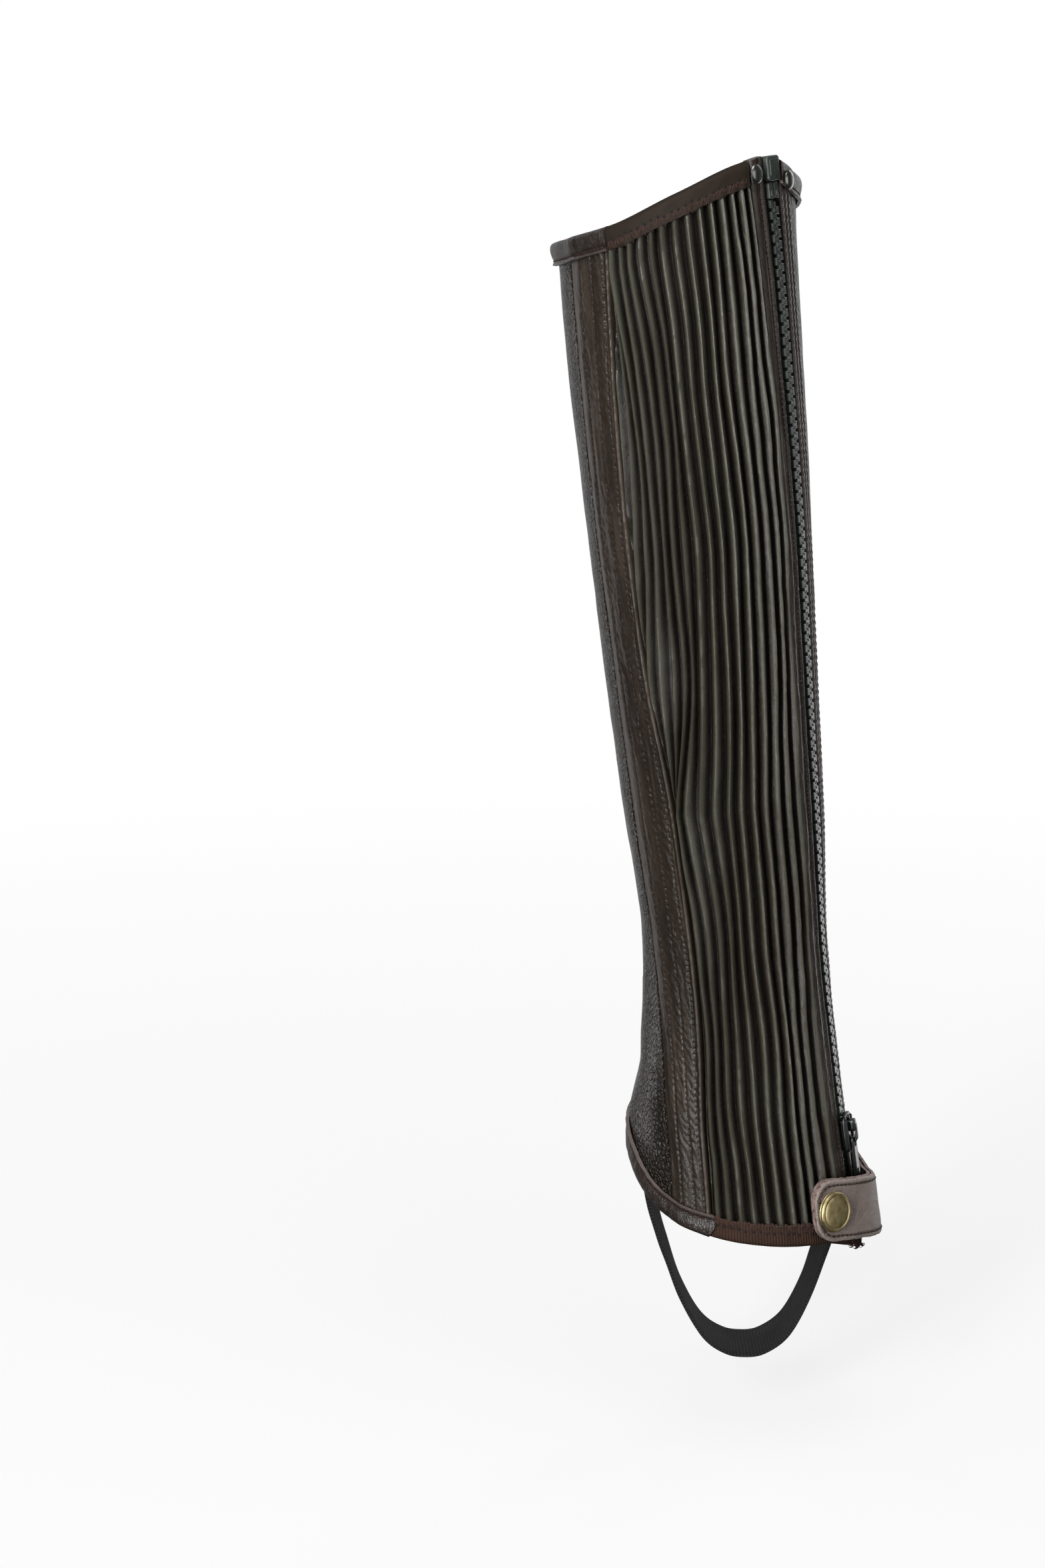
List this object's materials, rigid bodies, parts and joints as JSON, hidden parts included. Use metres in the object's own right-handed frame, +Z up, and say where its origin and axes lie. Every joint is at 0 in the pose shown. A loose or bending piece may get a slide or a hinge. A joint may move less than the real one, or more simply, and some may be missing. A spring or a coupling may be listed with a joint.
{
  "type": "half chap",
  "caption": "Worn leather half chap for the lower leg: grained front, pleated elastic back, outer zip closing downward under a press-stud strap, and an elastic stirrup loop.",
  "frame": {"origin": "on the leg's axis at the calf, where the wearer's leg holds the chap", "axes": "+Z up along the leg, +Y forward towards the toes, +X towards the outer side of the right leg"},
  "size_m": [0.1315, 0.1273, 0.4742],
  "materials": {
    "grained_leather": "satin, pebbled",
    "smooth_leather": "satin, smooth",
    "pleat_leather": "satin, soft",
    "brown_elastic": "ribbed weave",
    "dark_elastic": "woven",
    "black_tape": "woven",
    "zip_plastic": "moulded satin",
    "black_metal": "gloss black",
    "antique_brass": "antique satin",
    "gunmetal": "dark polished"
  },
  "bodies": {
    "chap": {"front_panel": "grained_leather", "side_band": "smooth_leather", "pleat_panel": "pleat_leather", "rear_placket": "smooth_leather", "top_binding": "grained_leather", "top_elastic": "brown_elastic", "hem_binding": "grained_leather", "hem_elastic": "brown_elastic", "hem_strap_outer": "grained_leather", "hem_strap_backing": "grained_leather", "stirrup": "dark_elastic", "zip_tape_front": "black_tape", "zip_tape_rear": "black_tape", "zip_chain": "zip_plastic", "zip_box": "zip_plastic", "zip_pin_front": "zip_plastic", "zip_pin_rear": "zip_plastic", "zip_slider": "black_metal", "snap_cap": "antique_brass", "snap_base": "antique_brass", "stud_front": "gunmetal", "stud_rear": "gunmetal"},
    "pull_tab": {"zip_pull_tab": "black_metal"}
  },
  "joints": [
    {"name": "pull_tab_hinge", "type": "hinge", "parent": "chap", "child": "pull_tab", "pos_m": [0.06223, -0.01469, -0.23793], "axis": [-0.2886, -0.9557, -0.0584], "range_deg": [0, 4]}
  ]
}
